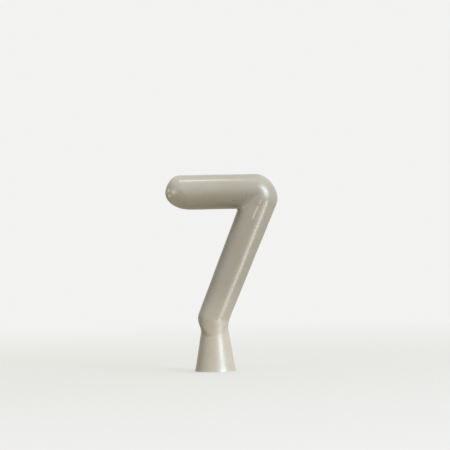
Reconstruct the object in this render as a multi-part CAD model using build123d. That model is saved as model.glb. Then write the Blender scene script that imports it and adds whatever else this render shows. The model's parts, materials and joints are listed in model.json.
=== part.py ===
from build123d import *
import os
from math import cos, degrees, hypot, radians, sin, tan

# Number birthday candle: a cast wax figure 7 on a flared foot, under a thin pearl lacquer skin,
# with a flat plaited sparkling wick that leaves the back of the bar and folds.
#
# Frame: millimetres, +Z up, the figure faces -Y and reads left to right along +X.
# The origin is the centre of the foot's flat underside.

# ---- figure: the horizontal bar ----
BAR_DIAMETER = 11.72
BAR_AXIS_HEIGHT = 60.86
BAR_LEFT_END = -15.97            # tip of the rounded left end
DOME_LENGTH = 7.0                # how far the rounded left end reaches along the bar
DOME_SLANT = -0.17               # the top of the rounded end stands further left than its bottom

# ---- figure: the bend and the stem ----
CORNER_X = 17.30                 # where the bar's axis and the stem's axis cross
STEM_LEAN = 22.5                 # degrees from vertical
BEND_RADIUS = 1.8                # of the centre line
BALL_HEIGHT = 17.9               # centre of the ball that ends the stem
BALL_DIAMETER = 10.34

# ---- foot ----
FOOT_DIAMETER = 14.08            # at the flat underside
FOOT_LIP_HEIGHT = 0.9            # thin flared rim at the very bottom
FOOT_LIP_SPREAD = 0.42
FOOT_WAIST_HEIGHT = 7.5
FOOT_WAIST_DIAMETER = 11.1
FOOT_NECK_HEIGHT = 15.0
FOOT_NECK_DIAMETER = 8.8

# ---- lacquer skin ----
COAT_THICKNESS = 0.15

# ---- wick ----
WICK_X = 0.6                     # where along the bar the wick comes out
WICK_TILT = 35.0                 # degrees behind the crest of the bar
WICK_WIDTH = 2.0
WICK_THICKNESS = 0.7
WICK_DEPTH = 9.0                 # length held in the wax
FREE_LENGTH = 8.4                # from the fold to the cut end
CURL_RADIUS = 10.0               # set that the folded free end keeps
FOLD_RADIUS = 0.45               # rounded root of the free end, on the fold's axis
FOLD_STANDOFF = 0.60             # fold's axis above the lacquer
FOLD_CLEARANCE = 0.08
STUB_HEIGHT = 0.12               # embedded wick shows this much above the lacquer

# ---- spark thread ----
THREAD_DIAMETER = 0.30
THREAD_SHOWS = 0.40              # bare thread beyond the cut end of the plait

# ---- wax seal round the wick ----
SEAL_LENGTH = 3.4                # along the bar
SEAL_WIDTH = 2.2                 # around the bar
SEAL_HEIGHT = 0.12               # above the lacquer

REACH = 30.0                     # further than any cutting shape needs to reach
UPWARDS = (Align.CENTER, Align.CENTER, Align.MIN)
DOWNWARDS = (Align.CENTER, Align.CENTER, Align.MAX)

# ---- derived places ----
bar_radius = BAR_DIAMETER / 2
ball_radius = BALL_DIAMETER / 2
lean = radians(STEM_LEAN)
stem_up = Vector(sin(lean), 0, cos(lean))
corner = Vector(CORNER_X, 0, BAR_AXIS_HEIGHT)
ball_centre = corner - stem_up * ((BAR_AXIS_HEIGHT - BALL_HEIGHT) / cos(lean))
bend_turn = 90 + STEM_LEAN
bend_setback = BEND_RADIUS * tan(radians(bend_turn / 2))
bend_start = corner - Vector(bend_setback, 0, 0)
bend_end = corner - stem_up * bend_setback
bend_centre = bend_start - Vector(0, 0, BEND_RADIUS)
stem_length = (bend_end - ball_centre).length

# The wick's own frame: origin on the bar's axis, local Z out through the wick's exit,
# local X along the bar.
tilt = radians(WICK_TILT)
wick_frame = Plane(
    origin=(WICK_X, 0, BAR_AXIS_HEIGHT),
    x_dir=(1, 0, 0),
    z_dir=(0, sin(tilt), cos(tilt)),
)
fold_height = bar_radius + FOLD_STANDOFF
stub_top = bar_radius + STUB_HEIGHT
curl_turn = FREE_LENGTH / CURL_RADIUS

# Centre of the slanted half ellipsoid whose furthest point is BAR_LEFT_END, and the
# slanted ring where it meets the bar.
dome_centre_x = BAR_LEFT_END + hypot(DOME_LENGTH, DOME_SLANT * bar_radius)
dome_ring = Plane(origin=(dome_centre_x, 0, BAR_AXIS_HEIGHT), z_dir=(1, 0, -DOME_SLANT))


def bar(radius):
    """Round bar from the slanted ring of the left end to the start of the bend."""
    plane = Plane(origin=(BAR_LEFT_END, 0, BAR_AXIS_HEIGHT), z_dir=(1, 0, 0))
    tube = plane * Cylinder(radius, bend_start.X - BAR_LEFT_END, align=UPWARDS)
    return split(tube, bisect_by=dome_ring, keep=Keep.TOP)


def dome(inset):
    """Rounded left end: half an ellipsoid, leaned so that its top reaches further left."""
    radius = bar_radius - inset
    length = DOME_LENGTH - inset
    outline = EllipticalCenterArc((0, 0), length, radius, start_angle=90, arc_size=90)
    outline += Polyline((-length, 0), (0, 0), (0, radius))
    upright = revolve(make_face(outline), Axis.X)
    slanted = upright.transform_geometry(Matrix([
        [1, 0, DOME_SLANT, 0],
        [0, 1, 0, 0],
        [0, 0, 1, 0],
    ]))
    return Pos(dome_centre_x, 0, BAR_AXIS_HEIGHT) * slanted


def bend(radius):
    """Outer side of the tight bend, turned about an axis inside the tube."""
    section_plane = Plane(origin=bend_centre, x_dir=(0, 0, 1), z_dir=(-1, 0, 0))
    disc = Pos(BEND_RADIUS, 0) * Circle(radius)
    outer_side = Rectangle(REACH, REACH, align=(Align.MIN, Align.CENTER))
    section = section_plane * (disc & outer_side)
    return revolve(section, Axis(bend_centre, (0, 1, 0)), bend_turn)


def stem(radius_top, radius_bottom):
    """Tapering round stem between the bend and the ball."""
    plane = Plane(origin=ball_centre, x_dir=(0, 1, 0), z_dir=stem_up)
    return plane * Cone(radius_bottom, radius_top, stem_length, align=UPWARDS)


def foot(inset):
    """Flared foot, turned about Z: a thin rim, then one slightly hollow flank up to the neck."""
    base = FOOT_DIAMETER / 2 - inset
    lip_top = base - FOOT_LIP_SPREAD
    waist = FOOT_WAIST_DIAMETER / 2 - inset
    neck = FOOT_NECK_DIAMETER / 2 - inset
    rim = Polyline((0, FOOT_NECK_HEIGHT), (0, 0), (base, 0), (lip_top, FOOT_LIP_HEIGHT))
    flank = ThreePointArc((lip_top, FOOT_LIP_HEIGHT), (waist, FOOT_WAIST_HEIGHT),
                          (neck, FOOT_NECK_HEIGHT))
    top = Line((neck, FOOT_NECK_HEIGHT), (0, FOOT_NECK_HEIGHT))
    profile = Plane.XZ * make_face(rim + flank + top)
    return revolve(profile, Axis.Z)


def figure(inset):
    """The whole candle's outer form, moved inwards by `inset`."""
    radius = bar_radius - inset
    ball = Pos(ball_centre) * Sphere(ball_radius - inset)
    return Part() + [
        bar(radius),
        dome(inset),
        bend(radius),
        stem(radius, ball_radius - inset),
        ball,
        foot(inset),
    ]


def straight_plait(low, high):
    """Straight length of the flat plait between two heights above the bar's axis."""
    return wick_frame * Pos(0, 0, low) * extrude(plait_section(), high - low)


def plait_section():
    """Flat plait cut across: rounded at its two narrow edges."""
    return SlotOverall(WICK_WIDTH, WICK_THICKNESS)


def around_bar(radius):
    """Long cylinder on the bar's axis."""
    return Pos(0, 0, BAR_AXIS_HEIGHT) * Rot(0, 90, 0) * Cylinder(radius, 2 * REACH)


def along_fold(radius, length):
    """Cylinder on the fold's axis, which runs along the bar."""
    return wick_frame * Pos(0, 0, fold_height) * Rot(0, 90, 0) * Cylinder(radius, length)


def along_curl(section, turn):
    """Carry a section from the fold round the curl that the free end keeps."""
    fold = wick_frame.from_local_coords(Vector(0, 0, fold_height))
    curl_centre = wick_frame.from_local_coords(Vector(0, 0, fold_height - CURL_RADIUS))
    down_the_back = Vector(0, cos(tilt), -sin(tilt))
    section_plane = Plane(origin=fold, x_dir=(1, 0, 0), z_dir=down_the_back)
    return revolve(section_plane * section, Axis(curl_centre, (-1, 0, 0)), degrees(turn))


def fold_seat():
    """Hollow seat in which the rounded root of the free end turns."""
    return along_fold(FOLD_RADIUS + FOLD_CLEARANCE, REACH)


def wax_body():
    """Cast wax figure and foot, with the pocket that holds the wick."""
    return figure(COAT_THICKNESS) - straight_plait(bar_radius - WICK_DEPTH, REACH)


def pearl_coat():
    """Lacquer skin all round, open under the foot and at the wick's exit."""
    skin = figure(0.0) - figure(COAT_THICKNESS)
    return skin - straight_plait(0, REACH)


def wick_embedded():
    """Length of the plait inside the wax, ending just above the lacquer."""
    plait = straight_plait(bar_radius - WICK_DEPTH, stub_top)
    return plait - fold_seat() - spark_thread_embedded()


def wick_free_end():
    """Free length of the plait, folded back, with the curl it keeps."""
    root = along_fold(FOLD_RADIUS, WICK_WIDTH)
    plait = along_curl(plait_section(), curl_turn)
    return root + plait - spark_thread_free_end()


def spark_thread_embedded():
    """Thread inside the embedded plait."""
    thread = Cylinder(THREAD_DIAMETER / 2, WICK_DEPTH + STUB_HEIGHT, align=DOWNWARDS)
    return wick_frame * Pos(0, 0, stub_top) * thread - fold_seat()


def spark_thread_free_end():
    """Thread inside the free end, bare for a short way beyond the cut."""
    turn = (FREE_LENGTH + THREAD_SHOWS) / CURL_RADIUS
    return along_curl(Circle(THREAD_DIAMETER / 2), turn)


def wick_seal():
    """Low bead of set wax round the wick's exit, an ellipse in plan that follows the bar."""
    outline = wick_frame * Ellipse(SEAL_LENGTH / 2, SEAL_WIDTH / 2)
    bead = extrude(outline, REACH) & around_bar(bar_radius + SEAL_HEIGHT)
    return bead - around_bar(bar_radius) - straight_plait(0, REACH)


NODES = {
    "wax_body": wax_body,
    "pearl_coat": pearl_coat,
    "wick_embedded": wick_embedded,
    "wick_free_end": wick_free_end,
    "spark_thread_embedded": spark_thread_embedded,
    "spark_thread_free_end": spark_thread_free_end,
    "wick_seal": wick_seal,
}

os.makedirs("parts", exist_ok=True)
for node, make in NODES.items():
    export_step(make(), f"parts/{node}.step")
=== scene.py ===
import json
import math

import bmesh
import bpy
import numpy as np
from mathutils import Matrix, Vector


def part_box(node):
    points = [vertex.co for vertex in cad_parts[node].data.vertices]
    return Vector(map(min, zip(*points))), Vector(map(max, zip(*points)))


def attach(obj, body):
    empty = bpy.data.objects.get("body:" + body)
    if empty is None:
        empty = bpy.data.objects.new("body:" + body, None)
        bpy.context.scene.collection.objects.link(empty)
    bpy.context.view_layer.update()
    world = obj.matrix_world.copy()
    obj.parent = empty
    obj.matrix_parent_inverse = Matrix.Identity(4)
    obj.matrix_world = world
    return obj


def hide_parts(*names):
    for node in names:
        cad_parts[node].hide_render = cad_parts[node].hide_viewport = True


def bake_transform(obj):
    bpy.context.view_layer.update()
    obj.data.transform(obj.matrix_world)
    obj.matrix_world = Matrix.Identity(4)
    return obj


# Number birthday candle, figure 7. The outer form is one closed-form distance field, which the
# lacquer skin and the wax inside it both follow. The seal sits on the bar's round.
# Shape functions work in millimetres; meshes are written in metres.

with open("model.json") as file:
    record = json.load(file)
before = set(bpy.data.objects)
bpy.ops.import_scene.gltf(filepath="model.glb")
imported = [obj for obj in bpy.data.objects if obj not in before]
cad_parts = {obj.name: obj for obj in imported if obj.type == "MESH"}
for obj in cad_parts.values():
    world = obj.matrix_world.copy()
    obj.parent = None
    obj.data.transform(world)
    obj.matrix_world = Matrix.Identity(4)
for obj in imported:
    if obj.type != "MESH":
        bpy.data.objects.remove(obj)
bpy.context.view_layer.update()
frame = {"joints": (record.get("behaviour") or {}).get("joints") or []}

MM = 0.001

# ---- sizes read from the frame, in millimetres ----
skin_low, skin_high = (np.array(corner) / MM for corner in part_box("pearl_coat"))
FOLD = np.array(frame["joints"][0]["pos_m"]) / MM     # the wick's fold, on the hinge's axis

# ---- driving dimensions of the outer form, in millimetres ----
BAR_RADIUS = 5.86
DOME_ABOVE = 4.8                 # length of the rounded left end at the top of the bar
DOME_BELOW = 8.4                 # and at the bottom
END_BLUNTNESS = 0.15             # how far the top of that end departs from an ellipsoid
BEND_RADIUS = 1.8
BEND_FLATTENING = 0.45           # at the middle of the bend's outer side
STEM_LEAN = math.radians(22.5)
BALL_HEIGHT = 17.9
BALL_RADIUS = 5.17
FRONT_DROP = 4.6                 # how much lower the ball reaches at its front and back
NECK_HEIGHT = 15.0
NECK_RADIUS = 4.4
NECK_DEPTH = 4.9                 # the neck's half size front to back
SHOULDER_RISE = 3.5              # height of the foot's rounded shoulder over the neck
SHOULDER_BLEND = 2.4
FLANK_HOLLOW = 0.08
FLANK_SLOPE = 0.985              # turns a level distance from the flank into a square one
LIP_SPREAD = 0.12
LIP_HEIGHT = 0.55
CREASE_BLEND = 5.0               # length over which the crease fades where bar and stem part
SKIN_THICKNESS = 0.13
SKIN_GAP = 0.02                  # between the skin and the casting

bar_z = skin_high[2] - BAR_RADIUS
left_end = skin_low[0]
foot_radius = skin_high[1]
bend_turn = math.pi / 2 + STEM_LEAN
bend_x = skin_high[0] - BAR_RADIUS - BEND_RADIUS
bend_centre = np.array([bend_x, 0.0, bar_z - BEND_RADIUS])
stem_down = np.array([-math.sin(STEM_LEAN), 0.0, -math.cos(STEM_LEAN)])
stem_side = np.array([math.cos(STEM_LEAN), 0.0, -math.sin(STEM_LEAN)])
stem_top = bend_centre + stem_side * BEND_RADIUS
stem_length = (stem_top[2] - BALL_HEIGHT) / math.cos(STEM_LEAN)
ball_centre = stem_top + stem_down * stem_length


# ------------------------------------------------------------------ the outer form

def smooth_union(a, b, width):
    """Union of two distance fields with a soft fillet of about `width`."""
    overlap = np.maximum(width - np.abs(a - b), 0.0) / width
    return np.minimum(a, b) - overlap ** 2 * width / 4


def smoothstep(value, low, high):
    t = np.clip((value - low) / (high - low), 0.0, 1.0)
    return t * t * (3 - 2 * t)


def bar_distance(p):
    """Round bar; its left end is blunt above and drawn out below."""
    height = p[:, 2] - bar_z
    radial = np.hypot(p[:, 1], height)
    upper = smoothstep(height, -BAR_RADIUS, BAR_RADIUS)
    length = DOME_BELOW + (DOME_ABOVE - DOME_BELOW) * upper
    beyond = np.maximum(left_end + length - p[:, 0], 0.0)
    power = 2.0 - END_BLUNTNESS * upper
    scaled = ((beyond / length) ** power + (radial / BAR_RADIUS) ** power) ** (1 / power)
    slope = np.hypot(beyond / length ** 2, radial / BAR_RADIUS ** 2) / np.maximum(scaled, 1e-6)
    end = (scaled - 1) / np.maximum(slope, 1e-3)
    past_bend = np.maximum(p[:, 0] - bend_x, 0.0)
    tube = np.hypot(radial, past_bend) - BAR_RADIUS
    return np.where(beyond > 0, end, tube)


def bend_distance(p):
    """Outer side of the tight bend, a little flattened half way round."""
    x = p[:, 0] - bend_centre[0]
    z = p[:, 2] - bend_centre[2]
    from_middle = (np.arctan2(x, z) - bend_turn / 2 + math.pi) % (2 * math.pi) - math.pi
    turned = np.clip(from_middle, -bend_turn / 2, bend_turn / 2) + bend_turn / 2
    centre_x = BEND_RADIUS * np.sin(turned)
    centre_z = BEND_RADIUS * np.cos(turned)
    outer_side = np.maximum(1 - (p[:, 1] / BAR_RADIUS) ** 2, 0.0)
    flatten = BEND_FLATTENING * np.sin(math.pi * turned / bend_turn) ** 2 * outer_side
    across = np.sqrt((x - centre_x) ** 2 + p[:, 1] ** 2 + (z - centre_z) ** 2)
    return across - BAR_RADIUS + flatten


def stem_distance(p):
    """Tapering stem that ends in a ball, drawn down at its front and back over the neck."""
    offset = p - stem_top
    along = np.clip(offset @ stem_down, 0.0, stem_length)
    radius = BAR_RADIUS + (BALL_RADIUS - BAR_RADIUS) * along / stem_length
    stem = np.linalg.norm(offset - along[:, None] * stem_down, axis=1) - radius
    from_ball = p - ball_centre
    lowest = FRONT_DROP * np.clip(np.abs(p[:, 1]) / BALL_RADIUS, 0.0, 1.0) ** 2
    from_ball[:, 2] += np.clip(-from_ball[:, 2], 0.0, lowest)
    return np.minimum(stem, np.linalg.norm(from_ball, axis=1) - BALL_RADIUS)


def crease_angle(p):
    """How far the bar's and the stem's surfaces face apart, from 0 where they run together."""
    bar_x = smooth_union(p[:, 0], np.full(len(p), bend_x), CREASE_BLEND)
    from_bar = p - np.stack([bar_x, np.zeros(len(p)), np.full(len(p), bar_z)], axis=1)
    offset = p - stem_top
    along = -smooth_union(-(offset @ stem_down), np.zeros(len(p)), CREASE_BLEND)
    from_stem = offset - along[:, None] * stem_down
    sizes = np.linalg.norm(from_bar, axis=1) * np.linalg.norm(from_stem, axis=1)
    return 1.001 - (from_bar * from_stem).sum(axis=1) / np.maximum(sizes, 1e-3)


def foot_profile(z):
    """Foot radius at a height: a slightly hollow flank and a thin flared rim."""
    lip = LIP_SPREAD * np.exp(-np.maximum(z, 0.0) / LIP_HEIGHT)
    rise = np.clip(z / NECK_HEIGHT, -0.2, 1.2)
    flank = (foot_radius - LIP_SPREAD) + (NECK_RADIUS - foot_radius + LIP_SPREAD) * rise
    return flank + lip - FLANK_HOLLOW * rise * (1 - rise)


def foot_distance(p):
    """Flared foot; its shoulder is rounded off inside the ball."""
    radius = foot_profile(p[:, 2])
    flare = np.clip((radius - NECK_RADIUS) / (foot_radius - NECK_RADIUS), 0.0, 1.1)
    depth = NECK_DEPTH + (foot_radius - NECK_DEPTH) * flare
    radial = np.hypot(p[:, 0], p[:, 1] * radius / depth)
    flank = (radial - radius) * FLANK_SLOPE
    return -smooth_union(-flank, NECK_HEIGHT + SHOULDER_RISE - p[:, 2], SHOULDER_BLEND)


RING_X = left_end + 4.1          # faint ring round the shoulder of the left end
RING_WIDTH = 0.24
RING_DEPTH = 0.060
END_STEP = 0.035                 # the left end is this much slimmer beyond the ring
SWELL = 0.020                    # slow and quick unevenness of the casting
RIPPLE = 0.005
SEAM_HEIGHT = 0.045              # parting line of the mould, in the plane y = 0
SEAM_WIDTH = 0.26
PIT_DEPTH = 0.10
PITS = [(-10.8, 60.9, 0.30), (11.3, 59.3, 0.34), (7.1, 57.7, 0.34), (8.1, 57.8, 0.22)]   # x, z, radius
BAR_ONLY = 50                    # the ring and the step stay above this height


def surface_detail(p):
    """Small departures of a hand-filled casting from its ideal form; positive is inwards."""
    x, y, z = p.T
    slow = np.sin(0.31 * x + 0.9) * np.sin(0.27 * z + 0.5 * y + 0.4)
    quick = np.sin(0.83 * x - 0.6 * y + 2.1) * np.sin(0.71 * z + 0.9 * y)
    depth = SWELL * slow + RIPPLE * quick
    depth += RING_DEPTH * np.exp(-((x - RING_X) / RING_WIDTH) ** 2) * (z > BAR_ONLY)
    depth += END_STEP * smoothstep(-x, -RING_X, -RING_X + 0.8) * (z > BAR_ONLY)
    depth -= SEAM_HEIGHT * np.exp(-(y / SEAM_WIDTH) ** 2) * (0.6 + 0.4 * np.sin(0.5 * x + 0.4 * z))
    return depth + PIT_DEPTH * pitting(p)


def pitting(p):
    """1 in the middle of each small air pit on the front, falling to 0 outside it."""
    x, y, z = p.T
    share = np.zeros(len(p))
    for pit_x, pit_z, size in PITS:
        away = (x - pit_x) ** 2 + (z - pit_z) ** 2
        share = np.maximum(share, np.exp(-away / size ** 2) * (y < 0))
    return share


CREASE_WIDTH = (0.4, 4.5)        # fillet between bar and stem: in the middle, and what its sides add
NECK_FILLET = (0.3, 1.1)         # fillet between ball and foot: front and back, and what its sides add


def outer_form(p):
    """Distance from the candle's outer surface, without its underside."""
    bar = np.minimum(bar_distance(p), bend_distance(p))
    depth = np.clip(np.abs(p[:, 1]) / BAR_RADIUS, 0.0, 1.0)
    crease = (CREASE_WIDTH[0] + CREASE_WIDTH[1] * depth ** 2) * crease_angle(p) ** 1.6
    figure = smooth_union(bar, stem_distance(p), crease)
    radial = np.hypot(p[:, 0], p[:, 1]) + 1e-6
    neck = NECK_FILLET[0] + NECK_FILLET[1] * (p[:, 0] / radial) ** 2
    body = smooth_union(figure, foot_distance(p), neck)
    return body + surface_detail(p)


SINK_DEPTH = 0.9
SINK_RADIUS = 3.0
SINK_EDGE = (4.6, 6.4)           # the underside is flat again beyond the second radius
SWIRL_HEIGHT = 0.05


def wax_form(p):
    """The casting under the skin, with a shallow sink where the wax shrank in the foot."""
    radial = np.hypot(p[:, 0], p[:, 1])
    swirl = SWIRL_HEIGHT * np.sin(3 * np.arctan2(p[:, 1], p[:, 0]) + radial)
    sink = SINK_DEPTH * np.exp(-(radial / SINK_RADIUS) ** 2)
    sink += swirl * smoothstep(radial, 0.5, SINK_RADIUS)
    sink *= 1 - smoothstep(radial, *SINK_EDGE)
    return np.maximum(outer_form(p) + SKIN_THICKNESS + SKIN_GAP, sink - p[:, 2])


# ------------------------------------------------------------------ mesh building

def field_values(field, axes):
    """Field on a grid, slab by slab so that memory stays small."""
    slabs = []
    y, z = np.meshgrid(axes[1], axes[2], indexing="ij")
    flat_y, flat_z = y.ravel(), z.ravel()
    for x in axes[0]:
        points = np.stack([np.full(flat_y.size, x), flat_y, flat_z], axis=1)
        slabs.append(field(points).reshape(y.shape))
    return np.array(slabs)


def gradient(field, points, step=0.02):
    """Slope of a field at points, by central differences."""
    slopes = []
    for axis in range(3):
        shift = np.zeros(3)
        shift[axis] = step
        slopes.append(field(points + shift) - field(points - shift))
    return np.stack(slopes, axis=1) / (2 * step)


def project(field, points, rounds=2):
    """Newton steps along the field's slope, onto its surface."""
    for _ in range(rounds):
        slope = gradient(field, points)
        size = np.maximum((slope ** 2).sum(axis=1), 0.05)
        move = -field(points)[:, None] * slope / size[:, None]
        points = points + np.clip(move, -0.5, 0.5)
    return points


def relax(points, quads, share=0.6):
    """Move every vertex towards the middle of its neighbours."""
    total = np.zeros_like(points)
    count = np.zeros(len(points))
    for corner in range(4):
        a, b = quads[:, corner], quads[:, (corner + 1) % 4]
        np.add.at(total, a, points[b])
        np.add.at(total, b, points[a])
        np.add.at(count, a, 1)
        np.add.at(count, b, 1)
    middle = total / np.maximum(count, 1)[:, None]
    return points + share * (middle - points)


def surface_net(field, low, high, step):
    """Quads round the zero surface of a field: one vertex in each crossed cell."""
    axes = [np.arange(low[i], high[i] + step, step) for i in range(3)]
    inside = field_values(field, axes) < 0
    corners = [inside[i:i - 1 or None, j:j - 1 or None, k:k - 1 or None]
               for i in (0, 1) for j in (0, 1) for k in (0, 1)]
    filled = sum(c.astype(np.int8) for c in corners)
    crossed = (filled > 0) & (filled < 8)
    number = np.full(crossed.shape, -1)
    number[crossed] = np.arange(crossed.sum())
    cells = np.argwhere(crossed)
    points = np.array([axes[i][cells[:, i]] for i in range(3)]).T + step / 2
    quads = []
    for axis in range(3):
        ahead = np.moveaxis(inside, axis, 0)
        cell = np.moveaxis(number, axis, 0)
        rises = ahead[:-1, 1:-1, 1:-1] != ahead[1:, 1:-1, 1:-1]
        at = np.argwhere(rises)
        i, j, k = at.T
        ring = np.stack([cell[i, j, k], cell[i, j + 1, k],
                         cell[i, j + 1, k + 1], cell[i, j, k + 1]], axis=1)
        outward = ahead[i, j + 1, k + 1]
        if axis == 1:
            outward = ~outward
        ring[~outward] = ring[~outward][:, ::-1]
        quads.append(ring)
    return points, np.concatenate(quads)


def mesh_object(name, points, faces):
    """A smooth-shaded object from points in millimetres."""
    mesh = bpy.data.meshes.new(name)
    mesh.from_pydata((points * MM).tolist(), [], faces)
    mesh.validate()
    mesh.shade_smooth()
    made = bpy.data.objects.new(name, mesh)
    bpy.context.scene.collection.objects.link(made)
    return made


MARGIN = 1.0                     # of the grid round the candle
SKIN_STEP = 0.31
WAX_STEP = 0.45


def net_object(name, field, step):
    """Even quad mesh of a field's surface."""
    points, quads = surface_net(field, skin_low - MARGIN, skin_high + MARGIN, step)
    for _ in range(3):
        points = project(field, relax(points, quads), rounds=1)
    return mesh_object(name, project(field, points), quads.tolist())


def apply_modifiers(made):
    """Replace an object's mesh with what its modifiers make of it."""
    depsgraph = bpy.context.evaluated_depsgraph_get()
    made.data = bpy.data.meshes.new_from_object(made.evaluated_get(depsgraph))
    made.modifiers.clear()
    made.data.shade_smooth()


def cut_level(made, height):
    """Cut away what lies below a height and leave an open edge."""
    bm = bmesh.new()
    bm.from_mesh(made.data)
    geometry = bm.verts[:] + bm.edges[:] + bm.faces[:]
    bmesh.ops.bisect_plane(bm, geom=geometry, plane_co=(0, 0, height * MM),
                           plane_no=(0, 0, 1), clear_inner=True, dist=1e-7)
    bm.to_mesh(made.data)
    bm.free()


def pearl_skin():
    """Lacquer skin: a thin closed shell, open under the foot."""
    made = net_object("pearl_skin", outer_form, SKIN_STEP)
    cut_level(made, 0.0)
    shell = made.modifiers.new("thickness", "SOLIDIFY")
    shell.thickness = SKIN_THICKNESS * MM
    shell.offset = -1
    apply_modifiers(made)
    for vertex in made.data.vertices:
        vertex.co.z = max(vertex.co.z, 0.0)
    points = np.array([vertex.co for vertex in made.data.vertices]) / MM
    shade_from_field(made, points)
    return made


def shade_from_field(made, points):
    """Shading normals taken from the form itself, so that highlights run evenly."""
    slope = gradient(outer_form, points)
    slope /= np.linalg.norm(slope, axis=1)[:, None]
    slope[outer_form(points) < -0.5 * SKIN_THICKNESS] *= -1
    made.data.normals_split_custom_set_from_vertices(slope.tolist())


def wax_casting():
    """Wax figure and foot inside the skin; only its underside shows."""
    return net_object("wax_casting", wax_form, WAX_STEP)


# ------------------------------------------------------------------ the wick

EXIT_X = FOLD[0]
outwards = np.array([0.0, FOLD[1], FOLD[2] - bar_z])
outwards /= np.linalg.norm(outwards)
down_back = np.array([0.0, outwards[2], -outwards[1]])
along_bar = np.array([1.0, 0.0, 0.0])
fold_reach = float((FOLD - [EXIT_X, 0, bar_z]) @ outwards)

ROOT_DEPTH = 2.2                 # wick modelled below the fold
TURN_RADIUS = 0.55               # of the soft bend where the wick folds
CURL_RADIUS = 10.0
FREE_LENGTH = 8.4
PLAIT_PITCH = 4.4                # one full crossing cycle of the three bundles
BUNDLES = 3
YARNS = 4                        # in each bundle
BUNDLE_SWING = 0.60
BUNDLE_RISE = 0.17
YARN_SPREAD = (0.165, 0.105)     # of a bundle's yarns round its middle, across the wick and through it
YARN_RADIUS = 0.135
YARN_SIDES = 12
YARN_RINGS = 150
FRAY_LENGTH = 1.3
END_FIBRES = 26
SIDE_FIBRES = 34
THREAD_RADIUS = 0.14
THREAD_BARE = 0.45               # spark thread left bare past the cut


def wick_line(s):
    """Centre line of the folded wick at lengths s from its root: points, and its outer side."""
    straight = ROOT_DEPTH - TURN_RADIUS
    quarter = TURN_RADIUS * math.pi / 2
    up = np.minimum(s, straight)
    turned = np.clip((s - straight) / TURN_RADIUS, 0.0, math.pi / 2)
    curled = np.maximum(s - straight - quarter, 0.0) / CURL_RADIUS
    back = TURN_RADIUS * (1 - np.cos(turned)) + CURL_RADIUS * np.sin(curled)
    out = fold_reach - ROOT_DEPTH + up
    out = out + TURN_RADIUS * np.sin(turned) - CURL_RADIUS * (1 - np.cos(curled))
    heading = math.pi / 2 - turned - curled
    base = np.array([EXIT_X, 0.0, bar_z])
    points = base + back[:, None] * down_back + out[:, None] * outwards
    side = -np.sin(heading)[:, None] * down_back + np.cos(heading)[:, None] * outwards
    return points, side


WICK_LENGTH = ROOT_DEPTH + (math.pi / 2 - 1) * TURN_RADIUS + FREE_LENGTH


def tube(points, radii, sides, relief=0.0):
    """Closed round tube along points; relief is a share of its radius. Returns points and faces."""
    heading = np.gradient(points, axis=0)
    heading /= np.linalg.norm(heading, axis=1)[:, None]
    first = np.cross(heading, along_bar + 0.01 * outwards)
    first /= np.linalg.norm(first, axis=1)[:, None]
    second = np.cross(heading, first)
    angle = np.linspace(0, 2 * math.pi, sides, endpoint=False)
    radius = np.broadcast_to(radii[:, None] * (1 + relief), (len(points), sides))
    spoke = (np.cos(angle)[None, :, None] * first[:, None]
             + np.sin(angle)[None, :, None] * second[:, None])
    ring = points[:, None] + radius[..., None] * spoke
    verts = np.concatenate([ring.reshape(-1, 3), points[:1], points[-1:]])
    faces = []
    for row in range(len(points) - 1):
        for side in range(sides):
            after = (side + 1) % sides
            faces.append((row * sides + side, row * sides + after,
                          (row + 1) * sides + after, (row + 1) * sides + side))
    last = (len(points) - 1) * sides
    for side in range(sides):
        after = (side + 1) % sides
        faces.append((len(verts) - 2, after, side))
        faces.append((len(verts) - 1, last + side, last + after))
    return verts, faces


def joined(name, tubes):
    """One object from several tubes."""
    points, faces = [], []
    start = 0
    for verts, quads in tubes:
        points.append(verts)
        faces += [tuple(start + v for v in face) for face in quads]
        start += len(verts)
    return mesh_object(name, np.concatenate(points), faces)


def yarn(bundle, place, chance):
    """One yarn of a bundle, plaited, with ply twist, opening out at the cut end."""
    length = WICK_LENGTH + chance.uniform(-0.35, 0.15)
    s = np.linspace(0, length, YARN_RINGS)
    centre, side = wick_line(s)
    phase = 2 * math.pi * (s / PLAIT_PITCH + bundle / BUNDLES)
    across = BUNDLE_SWING * np.sin(phase)
    rise = BUNDLE_RISE * np.sin(2 * phase)
    turn = place * 2 * math.pi / YARNS + s * 0.9 + chance.uniform(-0.3, 0.3)
    across = across + YARN_SPREAD[0] * np.cos(turn) + 0.02 * np.sin(1.9 * s + chance.uniform(0, 6))
    rise = rise + YARN_SPREAD[1] * np.sin(turn) + 0.02 * np.sin(2.3 * s + chance.uniform(0, 6))
    open_end = smoothstep(s, WICK_LENGTH - FRAY_LENGTH, WICK_LENGTH + 0.3)
    across = across * (1 + 0.25 * open_end) + open_end * chance.uniform(-0.25, 0.25)
    rise = rise * (1 + 0.4 * open_end) + open_end * chance.uniform(-0.22, 0.28)
    points = centre + across[:, None] * along_bar + rise[:, None] * side
    radii = YARN_RADIUS * (1 - 0.35 * smoothstep(s, length - 0.35, length))
    angle = np.linspace(0, 2 * math.pi, YARN_SIDES, endpoint=False)
    ply = 0.13 * np.abs(np.cos(1.5 * (angle[None, :] - 5.0 * s[:, None]))) - 0.06
    return tube(points, radii, YARN_SIDES, ply)


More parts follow.
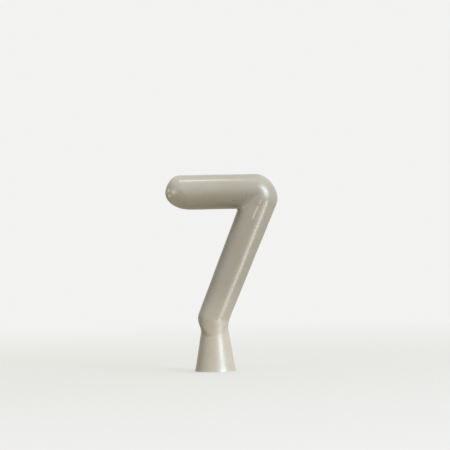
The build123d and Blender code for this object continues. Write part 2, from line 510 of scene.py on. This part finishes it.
def fibre(chance, at_end):
    """One loose cotton fibre standing off the plait."""
    start = WICK_LENGTH - 0.25 if at_end else chance.uniform(ROOT_DEPTH + 0.9, WICK_LENGTH)
    centre, side = wick_line(np.array([start, start + 0.1]))
    heading = centre[1] - centre[0]
    heading /= np.linalg.norm(heading)
    reach = chance.uniform(0.5, 1.1) if at_end else chance.uniform(0.25, 0.7)
    lean = chance.uniform(-1, 1) * along_bar + chance.uniform(-0.9, 1) * side[0]
    straight = heading * (1.3 if at_end else 0.35) + lean * (0.5 if at_end else 1.0)
    straight /= np.linalg.norm(straight)
    droop = chance.uniform(-0.5, 0.5) * along_bar + chance.uniform(-0.5, 0.5) * side[0]
    t = np.linspace(0, 1, 6)[:, None]
    root = centre[0] + chance.uniform(-0.75, 0.75) * along_bar + chance.uniform(-0.2, 0.2) * side[0]
    points = root + reach * (t * straight + t ** 2 * droop)
    return tube(points, np.linspace(0.022, 0.008, 6), 4)


def wick_plait():
    """Flat plait of three bundles of four yarns, with loose fibres, folded down behind the bar."""
    chance = np.random.default_rng(7)
    tubes = [yarn(bundle, place, chance) for bundle in range(BUNDLES) for place in range(YARNS)]
    tubes += [fibre(chance, at_end=True) for _ in range(END_FIBRES)]
    tubes += [fibre(chance, at_end=False) for _ in range(SIDE_FIBRES)]
    return joined("wick_plait", tubes)


def spark_thread():
    """Grainy metal-filled thread in the middle of the plait; its tip is bare past the cut."""
    chance = np.random.default_rng(11)
    rings, sides = 190, 10
    s = np.linspace(0, WICK_LENGTH + THREAD_BARE, rings)
    points, side = wick_line(s)
    points = points + 0.03 * np.sin(2.1 * s)[:, None] * along_bar
    points = points + 0.02 * np.cos(3.0 * s)[:, None] * side
    grains = chance.uniform(-0.16, 0.22, (rings, sides))
    return joined("spark_thread", [tube(points, np.full(rings, THREAD_RADIUS), sides, grains)])


SEAL_HALF_LENGTH = 1.7
SEAL_HALF_WIDTH = 1.12
SEAL_SUNK = 0.22                 # into the skin and the casting
SEAL_EDGE = 0.04                 # height of its thin edge over the skin
BEAD_HEIGHT = 0.13
COLLAR_HEIGHT = 0.20             # of the wax drawn up round the wick


def wax_seal():
    """Low irregular bead of set wax round the wick's exit, sunk a little into the skin."""
    rings, spokes = 16, 64
    angle = np.linspace(0, 2 * math.pi, spokes, endpoint=False)
    wobble = 1 + 0.05 * np.sin(2 * angle + 0.7) + 0.04 * np.sin(5 * angle + 2.0)
    points = []
    for level in range(2):
        for ring in range(1, rings + 1):
            share = ring / rings
            a = SEAL_HALF_LENGTH * share * wobble * np.cos(angle)
            t = SEAL_HALF_WIDTH * share * wobble * np.sin(angle)
            surface = np.sqrt(BAR_RADIUS ** 2 - t ** 2)
            bead = BEAD_HEIGHT * (1 - share ** 3) ** 0.6
            collar = COLLAR_HEIGHT * math.exp(-(max(share - 0.5, 0.0) / 0.16) ** 2)
            crown = SEAL_EDGE + bead + collar * (0.8 + 0.2 * np.sin(3 * angle))
            out = surface + (crown if level == 0 else -SEAL_SUNK)
            points.append(np.array([EXIT_X, 0, bar_z]) + a[:, None] * along_bar
                          + t[:, None] * down_back + out[:, None] * outwards)
    points = np.concatenate(points)
    faces = []
    for level in range(2):
        base = level * rings * spokes
        for ring in range(rings - 1):
            for spoke in range(spokes):
                after = (spoke + 1) % spokes
                quad = [base + ring * spokes + spoke, base + (ring + 1) * spokes + spoke,
                        base + (ring + 1) * spokes + after, base + ring * spokes + after]
                faces.append(tuple(quad if level else quad[::-1]))
    top_edge, low_edge = (rings - 1) * spokes, (2 * rings - 1) * spokes
    for spoke in range(spokes):
        after = (spoke + 1) % spokes
        faces.append((top_edge + spoke, top_edge + after, low_edge + after, low_edge + spoke))
    faces.append(tuple(range(spokes)))
    faces.append(tuple(range(rings * spokes, rings * spokes + spokes))[::-1])
    made = mesh_object("wax_seal", points, faces)
    face_out(made)
    return made


def face_out(made):
    """Make every face of a closed mesh point outwards."""
    bm = bmesh.new()
    bm.from_mesh(made.data)
    bmesh.ops.recalc_face_normals(bm, faces=bm.faces)
    bm.to_mesh(made.data)
    bm.free()


# ------------------------------------------------------------------ materials

class Nodes:
    """Short way to add and link shader nodes."""

    def __init__(self, tree):
        self.tree = tree
        tree.nodes.clear()

    def add(self, kind, inputs=None, **settings):
        node = self.tree.nodes.new("ShaderNode" + kind)
        for name, value in settings.items():
            setattr(node, name, value)
        for name, value in (inputs or {}).items():
            self.put(node, name, value)
        return node

    def put(self, node, name, value):
        socket = node.inputs[name]
        if isinstance(value, bpy.types.NodeSocket):
            self.tree.links.new(value, socket)
        else:
            socket.default_value = value

    def math(self, operation, *values):
        node = self.add("Math", operation=operation)
        for i, value in enumerate(values):
            self.put(node, i, value)
        return node.outputs[0]

    def noise(self, place, per_mm, detail=2.0, roughness=0.5):
        """Noise with `per_mm` cycles to the millimetre."""
        node = self.add("TexNoise", {"Vector": place, "Scale": per_mm / MM, "Detail": detail,
                                     "Roughness": roughness})
        return node.outputs["Fac"]

    def ramp(self, value, stops):
        """Colour ramp through (position, colour) stops."""
        node = self.add("ValToRGB", {"Fac": value})
        elements = node.color_ramp.elements
        while len(elements) < len(stops):
            elements.new(0.5)
        for element, (position, colour) in zip(elements, stops):
            element.position = position
            element.color = (*colour, 1.0)
        return node.outputs["Color"]

    def between(self, value, low, high, to_low=0.0, to_high=1.0):
        """Map low..high to to_low..to_high, and hold the ends beyond."""
        node = self.add("MapRange", {"Value": value, "From Min": low, "From Max": high,
                                     "To Min": to_low, "To Max": to_high})
        return node.outputs["Result"]

    def mix(self, share, first, second, blend="MIX"):
        """Mix two colours, each a socket or red, green and blue."""
        node = self.add("Mix", data_type="RGBA", blend_type=blend)
        self.put(node, "Factor", share)
        for place, colour in ((6, first), (7, second)):
            if not isinstance(colour, bpy.types.NodeSocket):
                colour = (*colour, 1.0)
            self.put(node, place, colour)
        return node.outputs[2]

    def scaled(self, tone, factor):
        """A colour made brighter or darker by a factor."""
        grey = self.add("CombineColor", {"Red": factor, "Green": factor, "Blue": factor})
        return self.mix(1.0, tone, grey.outputs[0], "MULTIPLY")

    def cells(self, place, per_mm):
        """Voronoi cells: distance from each one's middle, and a value from 0 to 1 for each."""
        node = self.add("TexVoronoi", {"Vector": place, "Scale": per_mm / MM})
        chance = self.add("SeparateColor", {"Color": node.outputs["Color"]}).outputs[0]
        return node.outputs["Distance"], chance

    def streaks(self, place, stretch, per_mm, detail, roughness=0.5):
        """Noise drawn out along the axes where `stretch` is small."""
        drawn = self.add("Mapping", {"Vector": place, "Scale": stretch}).outputs[0]
        return self.noise(drawn, per_mm, detail, roughness)

    def join(self, share, first, second):
        """Mix two shaders."""
        node = self.add("MixShader", {"Fac": share})
        self.tree.links.new(first.outputs[0], node.inputs[1])
        self.tree.links.new(second.outputs[0], node.inputs[2])
        return node.outputs[0]

    def bump(self, height, distance_mm, strength=1.0, after=None):
        node = self.add("Bump", {"Height": height, "Distance": distance_mm * MM,
                                 "Strength": strength})
        if after is not None:
            self.put(node, "Normal", after)
        return node.outputs["Normal"]

    def surface(self, shader):
        output = self.add("OutputMaterial")
        self.tree.links.new(shader, output.inputs["Surface"])


def new_material(name):
    made = bpy.data.materials.new(name)
    made.use_nodes = True
    nodes = Nodes(made.node_tree)
    place = nodes.add("TexCoord").outputs["Object"]
    return made, nodes, place


CHAMPAGNE = (0.555, 0.522, 0.455)
SILVER = (0.570, 0.558, 0.505)
# Pale cream of the painted highlight along the lacquer run.
RUN_HIGHLIGHT_PAINT = (0.90, 0.88, 0.80)
SPECK_COLOUR = (0.20, 0.17, 0.12)
WAX_COLOUR = (0.78, 0.72, 0.58)
PIT_RAGGED = 0.10 * MM           # how uneven a pit's edge is


def pit_shade(nodes, place):
    """1 inside the air pits on the front, 0 elsewhere, with ragged edges."""
    parts = nodes.add("SeparateXYZ", {"Vector": place})
    flat = nodes.add("CombineXYZ", {"X": parts.outputs["X"], "Z": parts.outputs["Z"]}).outputs[0]
    ragged = nodes.between(nodes.noise(place, 3.0, 3.0), 0.3, 0.7, -PIT_RAGGED, PIT_RAGGED)
    share = 0.0
    for pit_x, pit_z, size in PITS:
        middle = (pit_x * MM, 0.0, pit_z * MM)
        away = nodes.add("VectorMath", {0: flat, 1: middle}, operation="DISTANCE")
        edge = nodes.math("ADD", away.outputs["Value"], ragged)
        here = nodes.between(edge, 0.35 * size * MM, 0.95 * size * MM, 1.0, 0.0)
        share = nodes.math("MAXIMUM", here, share)
    on_front = nodes.math("LESS_THAN", parts.outputs["Y"], 0.0)
    return nodes.math("MULTIPLY", share, on_front)


RUN_TOP = 58.4                   # a thin run of lacquer down the front of the bend
RUN_FOOT = 51.0
RUN_START = (13.5, 51.3)         # x and z of a point on it
RUN_LEAN = 0.35                  # across for each mm up, at that point
RUN_CURVE = 0.020                # and how much more for each mm above it
RUN_WIDTH = (0.18, 0.42)         # fades between these distances from its middle line
RUN_GAP = 56.05                  # height of a short gap in it


def lacquer_run_and_painted_highlight(nodes, place):
    """1 along the run on the front of the bend, fading out at its ends and at a short gap; it shapes
    the run's bump and places its painted highlight.
    """
    parts = nodes.add("SeparateXYZ", {"Vector": place})
    x = nodes.math("DIVIDE", parts.outputs["X"], MM)
    z = nodes.math("DIVIDE", parts.outputs["Z"], MM)
    above = nodes.math("SUBTRACT", z, RUN_START[1])
    lean = nodes.math("ADD", RUN_LEAN, nodes.math("MULTIPLY", above, RUN_CURVE))
    crest = nodes.math("ADD", RUN_START[0], nodes.math("MULTIPLY", above, lean))
    away = nodes.math("ABSOLUTE", nodes.math("SUBTRACT", x, crest))
    share = nodes.between(away, *RUN_WIDTH, 1.0, 0.0)
    share = nodes.math("MULTIPLY", share, nodes.between(z, RUN_FOOT, RUN_FOOT + 0.9))
    share = nodes.math("MULTIPLY", share, nodes.between(z, RUN_TOP, RUN_TOP - 1.2))
    from_gap = nodes.math("ABSOLUTE", nodes.math("SUBTRACT", z, RUN_GAP))
    gap = nodes.between(from_gap, 0.15, 0.55)
    share = nodes.math("MULTIPLY", share, gap)
    return nodes.math("MULTIPLY", share, nodes.math("LESS_THAN", parts.outputs["Y"], 0.0))


def pearl_lacquer():
    """Glossy clear coat over fine pearl flake, with drifts of tone, painted sheen and shade, a painted
    highlight along a lacquer run, orange peel and a worn rim.
    """
    made, nodes, place = new_material("pearl_lacquer")
    parts = nodes.add("SeparateXYZ", {"Vector": place})
    across, height = parts.outputs["X"], parts.outputs["Z"]
    tone = nodes.ramp(nodes.noise(place, 0.10, 3.0), [(0.36, CHAMPAGNE), (0.64, SILVER)])
    flake_shape, flake_chance = nodes.cells(place, 10.0)
    glitter = nodes.between(flake_chance, 0.0, 1.0, 0.95, 1.05)
    mottle = nodes.between(nodes.noise(place, 0.7, 2.0), 0.3, 0.7, 0.98, 1.02)
    tone = nodes.scaled(tone, nodes.math("MULTIPLY", glitter, mottle))
    # Lighter towards the foot. Painted light: the figure is lightened towards its left, most at the
    # bar's left end, and darkened towards its right, standing in for sheen and shade.
    foot_tone_and_painted_light = nodes.math("MULTIPLY", nodes.between(height, 12 * MM, 30 * MM, 1.36, 1.0),
                       nodes.between(across, -14 * MM, 6 * MM, 1.08, 0.98))
    foot_tone_and_painted_light = nodes.math("MULTIPLY", foot_tone_and_painted_light, nodes.between(across, -16 * MM, -9.5 * MM, 1.22, 1.0))
    tone = nodes.scaled(tone, foot_tone_and_painted_light)
    # Painted highlight: the lacquer run is pulled towards a pale cream, standing in for light caught
    # on its ridge.
    run = lacquer_run_and_painted_highlight(nodes, place)
    tone = nodes.mix(nodes.math("MULTIPLY", run, 0.8), tone, RUN_HIGHLIGHT_PAINT)
    speck = nodes.between(nodes.cells(place, 0.30)[0], 0.035, 0.055, 0.55, 0.0)
    pit = nodes.math("MULTIPLY", pit_shade(nodes, place), 0.75)
    tone = nodes.mix(nodes.math("MAXIMUM", speck, pit), tone, SPECK_COLOUR)
    # Along the foot's lower edge the coat is worn through to the wax in a ragged line.
    ragged = nodes.between(nodes.noise(place, 1.1, 4.0), 0.3, 0.7, 0.02 * MM, 0.40 * MM)
    worn = nodes.between(nodes.math("SUBTRACT", ragged, height), 0.0, 0.12 * MM)
    worn = nodes.math("MULTIPLY", worn, 0.75)
    tone = nodes.mix(worn, tone, WAX_COLOUR)
    scuffs = nodes.streaks(place, (1, 1, 6), 0.35, 5.0, 0.7)
    orange_peel = nodes.bump(nodes.noise(place, 0.7, 1.0), 0.004, 0.5)
    coat_shape = nodes.bump(run, 0.04, 0.6, after=orange_peel)
    shader = nodes.add("BsdfPrincipled", {
        "Base Color": tone,
        "Metallic": nodes.math("SUBTRACT", 0.55, nodes.math("MULTIPLY", worn, 0.5)),
        "Roughness": nodes.between(scuffs, 0.35, 0.75, 0.33, 0.44),
        "Normal": nodes.bump(flake_shape, 0.004, 0.25, after=coat_shape),
        "Coat Weight": nodes.math("SUBTRACT", 1.0, worn),
        "Coat Roughness": nodes.between(scuffs, 0.5, 0.8, 0.12, 0.20),
        "Coat IOR": 1.5, "Coat Normal": coat_shape})
    nodes.surface(shader.outputs[0])
    return made


def cast_wax():
    """Bare paraffin: creamy, softly translucent, faintly scored, with small pores."""
    made, nodes, place = new_material("cast_wax")
    cloud = nodes.noise(place, 0.35, 4.0)
    tone = nodes.ramp(cloud, [(0.3, (0.66, 0.60, 0.47)), (0.7, WAX_COLOUR)])
    scores = nodes.bump(nodes.streaks(place, (1, 9, 1), 0.5, 4.0), 0.05, 0.5)
    pore = nodes.between(nodes.cells(place, 1.3)[0], 0.06, 0.16)
    shader = nodes.add("BsdfPrincipled", {
        "Base Color": nodes.mix(pore, (0.50, 0.43, 0.31), tone),
        "Roughness": nodes.between(cloud, 0.3, 0.7, 0.38, 0.55),
        "Normal": nodes.bump(pore, 0.05, 0.4, after=scores),
        "Subsurface Weight": 0.35, "Subsurface Scale": 1.2 * MM,
        "Subsurface Radius": (1.0, 0.7, 0.4), "IOR": 1.44})
    nodes.surface(shader.outputs[0])
    return made


def cotton_wick():
    """Ivory cotton yarn with a fine fibrous grain and patches of a duller tone."""
    made, nodes, place = new_material("cotton_wick")
    fine = nodes.noise(place, 14.0, 3.0)
    broad = nodes.noise(place, 0.8, 3.0)
    tone = nodes.ramp(fine, [(0.3, (0.52, 0.46, 0.35)), (0.7, (0.84, 0.79, 0.68))])
    tone = nodes.mix(nodes.between(broad, 0.4, 0.75, 0.0, 0.35), tone, (0.60, 0.53, 0.40))
    shader = nodes.add("BsdfPrincipled", {
        "Base Color": tone, "Roughness": nodes.between(fine, 0.3, 0.7, 0.72, 0.95),
        "Normal": nodes.bump(fine, 0.03, 0.7),
        "Sheen Weight": 0.35, "Sheen Roughness": 0.5, "Specular IOR Level": 0.25})
    nodes.surface(shader.outputs[0])
    return made


def spark_metal():
    """Grey metal-filled thread: dull binder with bright grains."""
    made, nodes, place = new_material("spark_metal")
    grain_shape, grain_chance = nodes.cells(place, 11.0)
    bright = nodes.between(grain_chance, 0.55, 0.8)
    shader = nodes.add("BsdfPrincipled", {
        "Base Color": nodes.mix(bright, (0.10, 0.10, 0.105), (0.55, 0.55, 0.56)),
        "Metallic": bright, "Roughness": nodes.between(bright, 0.0, 1.0, 0.75, 0.3),
        "Normal": nodes.bump(grain_shape, 0.03, 0.8)})
    nodes.surface(shader.outputs[0])
    return made


# ------------------------------------------------------------------ the stage

BACKDROP = (0.89, 0.89, 0.885)
STAGE_RADIUS = 2.6
STAGE_RINGS = 40
STAGE_SPOKES = 96
FADE_START = 0.05                # the floor fades into the backdrop between these distances
FADE_END = 0.45
FADE_LEAST = 0.35                # share of backdrop tone at the candle itself


def floor():
    """Plain pale floor; it isn't mirrored in the candle and throws no light on it."""
    bm = bmesh.new()
    centre = bm.verts.new((0, 0, 0))
    previous = None
    for ring in range(1, STAGE_RINGS + 1):
        radius = STAGE_RADIUS * (ring / STAGE_RINGS) ** 2
        row = []
        for spoke in range(STAGE_SPOKES):
            angle = 2 * math.pi * spoke / STAGE_SPOKES
            row.append(bm.verts.new((radius * math.cos(angle), radius * math.sin(angle), 0)))
        for spoke in range(STAGE_SPOKES):
            after = (spoke + 1) % STAGE_SPOKES
            if previous is None:
                bm.faces.new((centre, row[spoke], row[after]))
            else:
                bm.faces.new((previous[spoke], row[spoke], row[after], previous[after]))
        previous = row
    mesh = bpy.data.meshes.new("floor")
    bm.to_mesh(mesh)
    bm.free()
    made = bpy.data.objects.new("floor", mesh)
    bpy.context.scene.collection.objects.link(made)
    made.data.materials.append(floor_paper())
    made.visible_glossy = False
    made.visible_diffuse = False


def floor_paper():
    """Matt paper that takes the candle's shadow, mixed into the backdrop's own tone."""
    material, nodes, place = new_material("floor_paper")
    away = nodes.add("VectorMath", {0: place}, operation="LENGTH").outputs["Value"]
    fade = nodes.add("MapRange", {"Value": away, "From Min": FADE_START, "From Max": FADE_END,
                                  "To Min": FADE_LEAST, "To Max": 1.0},
                     interpolation_type="SMOOTHSTEP")
    grain = nodes.noise(place, 0.6, 4.0)
    paper = nodes.add("BsdfPrincipled", {
        "Base Color": nodes.ramp(grain, [(0.2, (0.87, 0.87, 0.865)), (0.8, (0.90, 0.90, 0.895))]),
        "Roughness": 0.9, "Specular IOR Level": 0.1, "Normal": nodes.bump(grain, 0.03, 0.3)})
    far = nodes.add("Emission", {"Color": (*BACKDROP, 1.0), "Strength": 1.0})
    nodes.surface(nodes.join(fade.outputs[0], paper, far))
    return material


# The room's tones from straight down to straight up, and its levels from the left to the right.
ROOM_TONES = [(0.0, (0.38, 0.335, 0.255)), (0.35, (0.48, 0.43, 0.345)), (0.50, (0.66, 0.615, 0.53)),
              (0.72, (0.80, 0.79, 0.72)), (1.0, (0.98, 0.98, 0.91))]
SIDE_LEVELS = [(0.0, 0.50), (0.2, 0.84), (0.5, 0.90), (1.0, 1.30)]
RIGHT_WALL = (0.60, 0.585, 0.535)
DIM_CORNER = (-0.82, 0.57, 0.0)  # the darkest part of the room: behind the candle, to its left


def studio_world():
    """Even pale backdrop for the camera; for the candle, a room that is light above, dim below."""
    world = bpy.data.worlds.new("studio")
    bpy.context.scene.world = world
    world.use_nodes = True
    nodes = Nodes(world.node_tree)
    direction = nodes.add("TexCoord").outputs["Generated"]
    parts = nodes.add("SeparateXYZ", {"Vector": direction})
    across, up = parts.outputs["X"], parts.outputs["Z"]
    room = nodes.ramp(nodes.between(up, -1.0, 1.0), ROOM_TONES)
    greys = [(at, (level, level, level)) for at, level in SIDE_LEVELS]
    side = nodes.ramp(nodes.between(across, -1.0, 1.0), greys)
    corner = nodes.add("VectorMath", {0: direction, 1: DIM_CORNER}, operation="DOT_PRODUCT")
    side = nodes.math("MULTIPLY", side, nodes.between(corner.outputs["Value"], 0.72, 0.97, 1.0, 0.5))
    wall = nodes.between(across, 0.55, 1.0, 0.0, 0.85)
    lit = nodes.add("Background", {"Color": nodes.mix(wall, room, RIGHT_WALL), "Strength": side})
    seen = nodes.add("Background", {"Color": (*BACKDROP, 1.0), "Strength": 1.0})
    camera_ray = nodes.add("LightPath").outputs["Is Camera Ray"]
    output = nodes.add("OutputWorld")
    nodes.tree.links.new(nodes.join(camera_ray, lit, seen), output.inputs["Surface"])


CANDLE_MIDDLE = (0.0, 0.0, 0.045)


def lamp(name, azimuth, elevation, distance, size, radiance, colour, aim=CANDLE_MIDDLE, spread=180):
    """Soft rectangular light; azimuth is measured from the front (-Y) towards the right (+X)."""
    data = bpy.data.lights.new(name, "AREA")
    data.shape = "RECTANGLE"
    data.size, data.size_y = size
    data.energy = radiance * math.pi * data.size * data.size_y
    data.color = colour
    data.spread = math.radians(spread)
    made = bpy.data.objects.new(name, data)
    turn, rise = math.radians(azimuth), math.radians(elevation)
    outward = Vector((math.cos(rise) * math.sin(turn), -math.cos(rise) * math.cos(turn),
                      math.sin(rise)))
    made.location = Vector(aim) + outward * distance
    made.rotation_euler = (-outward).to_track_quat("-Z", "Y").to_euler()
    made.visible_camera = False
    bpy.context.scene.collection.objects.link(made)


def lights():
    bar_top = (-0.0095, 0.0, 0.061)
    bar_end = (-0.0155, 0.0, 0.0615)
    daylight = (0.64, 0.78, 1.0)
    glow = (1.0, 0.86, 0.68)
    lamp("overhead_tube", 0, 84, 0.40, (0.024, 0.030), 12.0, (1.0, 0.98, 0.94), bar_top)
    lamp("window_high", 46, 29.2, 0.70, (0.36, 0.165), 3.15, daylight)
    lamp("window_low", 46, 15.8, 0.70, (0.36, 0.165), 2.4, daylight)
    lamp("window_strip", 53, -18.5, 0.30, (0.060, 0.056), 3.0, (0.84, 0.91, 1.0))
    lamp("window_side", 40, -22, 0.70, (0.13, 0.26), 0.9, (0.98, 0.97, 1.0))
    lamp("left_glow_high", -104, 8, 0.035, (0.0035, 0.005), 0.25, glow, bar_end, spread=40)
    lamp("left_glow_low", -98, -24, 0.035, (0.0045, 0.006), 0.25, glow, bar_end, spread=40)
    lamp("left_card", -66, -4, 0.14, (0.09, 0.07), 0.035, (1.0, 0.96, 0.88), bar_end, spread=30)
    lamp("back_window", 179, 0, 0.75, (0.11, 0.17), 2.5, (1.0, 0.99, 0.97))


CAMERA_DISTANCE = 0.85
FRAME_WIDTH = 0.153              # width of the picture at the candle
FRAME_CENTRE = (0.00415, 0.04957)   # x and z of the point that the camera faces
CAMERA_ROLL = 1.1                # degrees; the candle leans a little to the left


def camera():
    """Long lens, level, straight on to the front."""
    data = bpy.data.cameras.new("front")
    data.lens = data.sensor_width * CAMERA_DISTANCE / FRAME_WIDTH
    data.clip_start = 0.01
    data.clip_end = 10.0
    made = bpy.data.objects.new("front", data)
    made.location = (FRAME_CENTRE[0], -CAMERA_DISTANCE, FRAME_CENTRE[1])
    made.rotation_euler = (math.pi / 2, math.radians(CAMERA_ROLL), 0)
    bpy.context.scene.collection.objects.link(made)
    bpy.context.scene.camera = made


# ------------------------------------------------------------------ the candle

def finish_piece(made, material, nodes):
    """Give a piece its material and slot, and hide the CAD nodes that it stands for."""
    made.data.materials.clear()
    made.data.materials.append(material)
    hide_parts(*nodes)


skin, casting, seal = pearl_skin(), wax_casting(), wax_seal()
plait, thread = wick_plait(), spark_thread()
wax_material = cast_wax()
finish_piece(skin, pearl_lacquer(), ["pearl_coat"])
finish_piece(casting, wax_material, ["wax_body"])
finish_piece(seal, wax_material, ["wick_seal"])
finish_piece(plait, cotton_wick(), ["wick_embedded", "wick_free_end"])
finish_piece(thread, spark_metal(),
             ["spark_thread_embedded", "spark_thread_free_end"])
for piece in (skin, casting, seal):
    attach(piece, "candle")

# The wick and its thread have their placement baked into their meshes.
for piece in (plait, thread):
    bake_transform(piece)

floor()
studio_world()
lights()
camera()
bpy.context.scene.view_settings.view_transform = "Standard"
